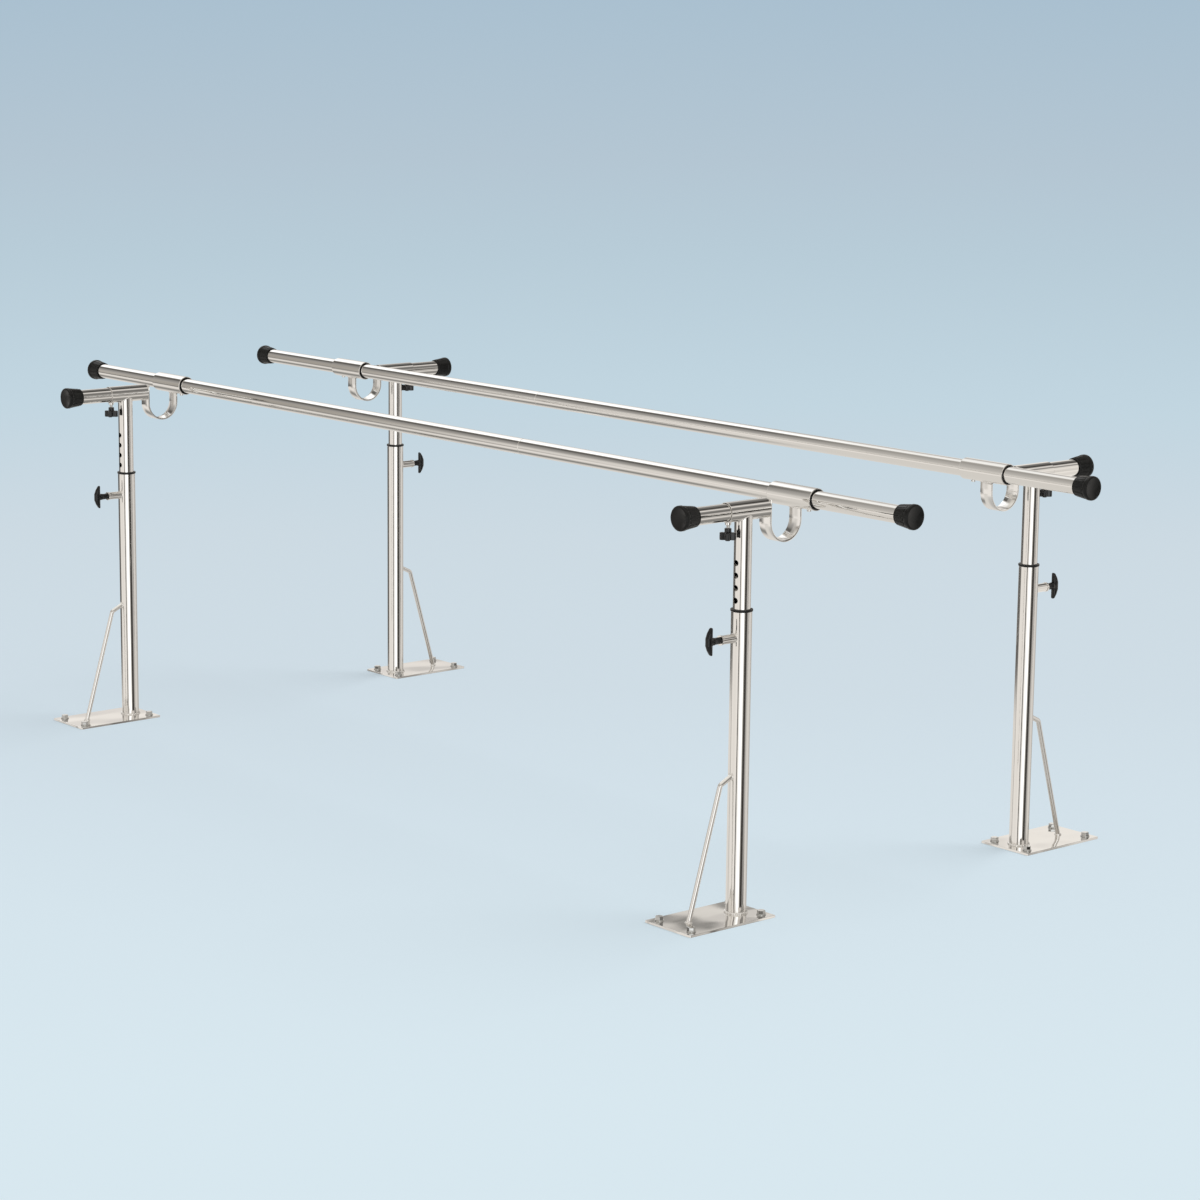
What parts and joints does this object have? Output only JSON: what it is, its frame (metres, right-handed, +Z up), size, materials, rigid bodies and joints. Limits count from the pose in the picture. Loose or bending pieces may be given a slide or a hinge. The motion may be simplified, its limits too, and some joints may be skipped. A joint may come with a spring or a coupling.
{
  "type": "walking parallel bars",
  "caption": "Polished tube handrails on floor-bolted stands, with pin-locked height masts, clamped width slides and rubber end caps, for practising walking between them.",
  "frame": {"origin": "on the floor, under the middle of the two handrails", "axes": "+X along the rails, towards the end that is nearer in the picture; +Y across the walking lane, away from the near rail; +Z up"},
  "size_m": [3.1956, 1.286, 0.9183],
  "materials": {
    "polished_steel": "polished stainless steel, mirror bright",
    "black_rubber": "moulded rubber, dull",
    "black_plastic": "moulded plastic, low sheen",
    "spring_steel": "drawn wire"
  },
  "bodies": {
    "stands": {"base_plate_near_right": "polished_steel", "post_tube_near_right": "polished_steel", "post_bush_near_right": "black_plastic", "brace_rod_near_right": "polished_steel", "plunger_housing_near_right": "polished_steel", "plunger_spring_near_right": "spring_steel", "base_plate_near_left": "polished_steel", "post_tube_near_left": "polished_steel", "post_bush_near_left": "black_plastic", "brace_rod_near_left": "polished_steel", "plunger_housing_near_left": "polished_steel", "plunger_spring_near_left": "spring_steel", "base_plate_far_right": "polished_steel", "post_tube_far_right": "polished_steel", "post_bush_far_right": "black_plastic", "brace_rod_far_right": "polished_steel", "plunger_housing_far_right": "polished_steel", "plunger_spring_far_right": "spring_steel", "base_plate_far_left": "polished_steel", "post_tube_far_left": "polished_steel", "post_bush_far_left": "black_plastic", "brace_rod_far_left": "polished_steel", "plunger_housing_far_left": "polished_steel", "plunger_spring_far_left": "spring_steel"},
    "upright_near_right": {"mast_near_right": "polished_steel"},
    "knob_near_right": {"clamp_knob_near_right": "black_plastic"},
    "plunger_near_right": {"plunger_handle_near_right": "black_plastic"},
    "arm_near_right": {"slide_tube_near_right": "polished_steel", "slide_cap_near_right": "black_rubber", "rail_hanger_near_right": "polished_steel", "rail_liner_near_right": "black_plastic", "rail_long_near": "polished_steel", "rail_short_near": "polished_steel", "rail_cap_near_right": "black_rubber", "rail_cap_near_left": "black_rubber"},
    "upright_near_left": {"mast_near_left": "polished_steel"},
    "knob_near_left": {"clamp_knob_near_left": "black_plastic"},
    "plunger_near_left": {"plunger_handle_near_left": "black_plastic"},
    "arm_near_left": {"slide_tube_near_left": "polished_steel", "slide_cap_near_left": "black_rubber", "rail_hanger_near_left": "polished_steel", "rail_liner_near_left": "black_plastic"},
    "upright_far_right": {"mast_far_right": "polished_steel"},
    "knob_far_right": {"clamp_knob_far_right": "black_plastic"},
    "plunger_far_right": {"plunger_handle_far_right": "black_plastic"},
    "arm_far_right": {"slide_tube_far_right": "polished_steel", "slide_cap_far_right": "black_rubber", "rail_hanger_far_right": "polished_steel", "rail_liner_far_right": "black_plastic", "rail_long_far": "polished_steel", "rail_short_far": "polished_steel", "rail_cap_far_right": "black_rubber", "rail_cap_far_left": "black_rubber"},
    "upright_far_left": {"mast_far_left": "polished_steel"},
    "knob_far_left": {"clamp_knob_far_left": "black_plastic"},
    "plunger_far_left": {"plunger_handle_far_left": "black_plastic"},
    "arm_far_left": {"slide_tube_far_left": "polished_steel", "slide_cap_far_left": "black_rubber", "rail_hanger_far_left": "polished_steel", "rail_liner_far_left": "black_plastic"}
  },
  "joints": [
    {"name": "height_near_right", "type": "slide", "parent": "stands", "child": "upright_near_right", "axis": [0, 0, 1], "range_m": [-0.1602, 0.0801]},
    {"name": "width_near_right", "type": "slide", "parent": "upright_near_right", "child": "arm_near_right", "axis": [0, 1, 0], "range_m": [0, 0.087]},
    {"name": "clamp_near_right", "type": "hinge", "parent": "upright_near_right", "child": "knob_near_right", "pos_m": [1.246, -0.4906, 0.83], "axis": [0, 0, -1], "range_deg": [0, 540]},
    {"name": "plunger_pull_near_right", "type": "slide", "parent": "stands", "child": "plunger_near_right", "axis": [0, -1, 0], "range_m": [0, 0.01], "stiffness_N_per_m": 1500, "springref_m": -0.01, "deforming": ["plunger_spring_near_right"]},
    {"name": "height_near_left", "type": "slide", "parent": "stands", "child": "upright_near_left", "axis": [0, 0, 1], "range_m": [-0.1602, 0.0801]},
    {"name": "width_near_left", "type": "slide", "parent": "upright_near_left", "child": "arm_near_left", "axis": [0, 1, 0], "range_m": [0, 0.087]},
    {"name": "clamp_near_left", "type": "hinge", "parent": "upright_near_left", "child": "knob_near_left", "pos_m": [-1.164, -0.4906, 0.83], "axis": [0, 0, -1], "range_deg": [0, 540]},
    {"name": "plunger_pull_near_left", "type": "slide", "parent": "stands", "child": "plunger_near_left", "axis": [0, -1, 0], "range_m": [0, 0.01], "stiffness_N_per_m": 1500, "springref_m": -0.01, "deforming": ["plunger_spring_near_left"]},
    {"name": "height_far_right", "type": "slide", "parent": "stands", "child": "upright_far_right", "axis": [0, 0, 1], "range_m": [-0.1602, 0.0801]},
    {"name": "width_far_right", "type": "slide", "parent": "upright_far_right", "child": "arm_far_right", "axis": [0, -1, 0], "range_m": [0, 0.087]},
    {"name": "clamp_far_right", "type": "hinge", "parent": "upright_far_right", "child": "knob_far_right", "pos_m": [1.246, 0.4906, 0.83], "axis": [0, 0, -1], "range_deg": [0, 540]},
    {"name": "plunger_pull_far_right", "type": "slide", "parent": "stands", "child": "plunger_far_right", "axis": [0, 1, 0], "range_m": [0, 0.01], "stiffness_N_per_m": 1500, "springref_m": -0.01, "deforming": ["plunger_spring_far_right"]},
    {"name": "height_far_left", "type": "slide", "parent": "stands", "child": "upright_far_left", "axis": [0, 0, 1], "range_m": [-0.1602, 0.0801]},
    {"name": "width_far_left", "type": "slide", "parent": "upright_far_left", "child": "arm_far_left", "axis": [0, -1, 0], "range_m": [0, 0.087]},
    {"name": "clamp_far_left", "type": "hinge", "parent": "upright_far_left", "child": "knob_far_left", "pos_m": [-1.164, 0.4906, 0.83], "axis": [0, 0, -1], "range_deg": [0, 540]},
    {"name": "plunger_pull_far_left", "type": "slide", "parent": "stands", "child": "plunger_far_left", "axis": [0, 1, 0], "range_m": [0, 0.01], "stiffness_N_per_m": 1500, "springref_m": -0.01, "deforming": ["plunger_spring_far_left"]}
  ],
  "couplings": [
    {"joint": "height_near_left", "follows": "height_near_right", "ratio": 1},
    {"joint": "width_near_left", "follows": "width_near_right", "ratio": 1},
    {"joint": "height_far_left", "follows": "height_far_right", "ratio": 1},
    {"joint": "width_far_left", "follows": "width_far_right", "ratio": 1}
  ]
}
